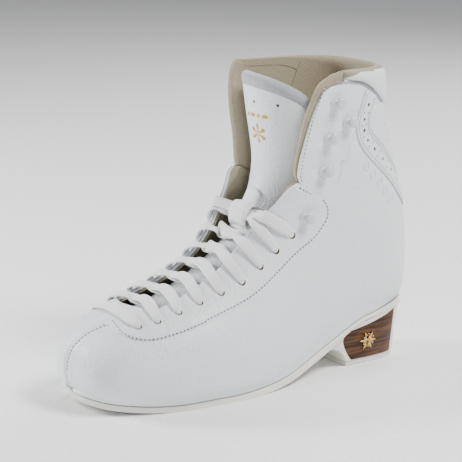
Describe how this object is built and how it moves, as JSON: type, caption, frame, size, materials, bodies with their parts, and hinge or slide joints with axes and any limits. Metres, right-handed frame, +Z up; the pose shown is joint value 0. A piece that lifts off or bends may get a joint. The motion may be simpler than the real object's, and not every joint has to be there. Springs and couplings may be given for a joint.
{
  "type": "figure skating boot",
  "caption": "White leather figure skating boot, left foot, without blade: laced instep, hooked ankle flaps, tilting tongue, padded collar and wood-sided heel.",
  "frame": {"origin": "middle of the boot's bounding box, on the floor the sole and heel stand on", "axes": "+Z up, -Y towards the toe, +X towards the outer side of the left boot"},
  "size_m": [0.0971, 0.2652, 0.2062],
  "materials": {
    "white_leather": "fine-grained white leather, semi-matt",
    "cream_lining": "cream microfibre lining",
    "grey_felt": "grey wool felt and foam",
    "lace_white": "flat woven white lace",
    "clear_plastic": "lace tips",
    "white_enamel": "white enamelled hooks",
    "white_sole": "off-white lacquered leather sole and heel",
    "rubber_cream": "off-white rubber lift",
    "wood_veneer": "dark striped wood, satin lacquer",
    "gold": "polished gold plate",
    "fibre_board": "pressed fibre board",
    "spring_steel": "steel"
  },
  "bodies": {
    "root": {"quarter_lateral": "white_leather", "facing_lateral": "white_leather", "lining_lateral": "cream_lining", "ankle_foam_lateral": "grey_felt", "hook_lateral_1": "white_enamel", "heel_inlay_lateral": "wood_veneer", "aglet_lateral": "clear_plastic", "quarter_medial": "white_leather", "facing_medial": "white_leather", "lining_medial": "cream_lining", "ankle_foam_medial": "grey_felt", "hook_medial_1": "white_enamel", "heel_inlay_medial": "wood_veneer", "aglet_medial": "clear_plastic", "toe_puff": "fibre_board", "heel_counter": "fibre_board", "collar_pad": "white_leather", "backstay_band": "white_leather", "achilles_panel": "white_leather", "tongue_lower": "white_leather", "tongue_felt_lower": "grey_felt", "lace_keeper_tab": "white_leather", "lace_keeper_loop": "white_leather", "lace": "lace_white", "outsole": "white_sole", "insole_board": "fibre_board", "footbed": "cream_lining", "shank": "spring_steel", "heel_block": "white_sole", "heel_top_piece": "rubber_cream", "heel_badge": "gold", "badge_rivet_1": "gold", "badge_rivet_2": "gold"},
    "tongue": {"tongue_upper": "white_leather", "tongue_felt_upper": "grey_felt"},
    "lateral_flap": {"ankle_flap_lateral": "white_leather", "flap_lining_lateral": "cream_lining", "hook_lateral_2": "white_enamel", "hook_lateral_3": "white_enamel", "hook_lateral_4": "white_enamel", "hook_lateral_5": "white_enamel"},
    "medial_flap": {"ankle_flap_medial": "white_leather", "flap_lining_medial": "cream_lining", "hook_medial_2": "white_enamel", "hook_medial_3": "white_enamel", "hook_medial_4": "white_enamel", "hook_medial_5": "white_enamel"}
  },
  "joints": [
    {"name": "tongue_tilt", "type": "hinge", "parent": "root", "child": "tongue", "pos_m": [-0.00145, 0.0082, 0.1276], "axis": [1, 0, 0], "range_deg": [0, 20], "stiffness_Nm_per_rad": 0.08},
    {"name": "lateral_flap_open", "type": "hinge", "parent": "root", "child": "lateral_flap", "pos_m": [0.03593, 0.03591, 0.12449], "axis": [0.016, 0.3925, 0.9196], "range_deg": [0, 14], "stiffness_Nm_per_rad": 0.15},
    {"name": "medial_flap_open", "type": "hinge", "parent": "root", "child": "medial_flap", "pos_m": [-0.03885, 0.03591, 0.12449], "axis": [0.0212, -0.3925, -0.9195], "range_deg": [0, 14], "stiffness_Nm_per_rad": 0.15}
  ]
}
